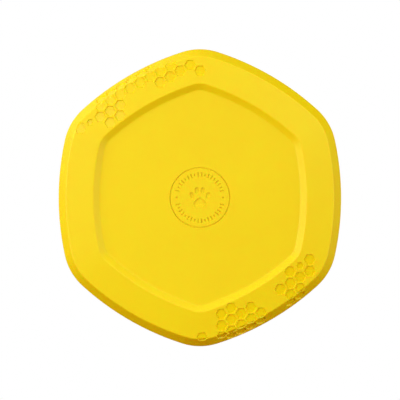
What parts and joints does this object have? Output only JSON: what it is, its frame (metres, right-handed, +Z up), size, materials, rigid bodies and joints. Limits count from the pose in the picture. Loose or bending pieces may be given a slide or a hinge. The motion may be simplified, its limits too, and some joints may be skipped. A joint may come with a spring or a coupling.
{
  "type": "dog flying disc",
  "caption": "Rounded hexagonal flying disc for dogs, moulded in one piece of yellow rubber, with a sunken centre plate, honeycomb grip cells and a deep lipped rim.",
  "frame": {"origin": "middle of the disc, at the level of the lip's flat foot that it rests on", "axes": "+Z up out of the face, +Y towards a rounded corner, +X towards the middle of a side"},
  "size_m": [0.2188, 0.23, 0.026],
  "materials": {
    "yellow_rubber": "satin moulded thermoplastic rubber"
  },
  "bodies": {
    "root": {"disc": "yellow_rubber"}
  },
  "joints": []
}
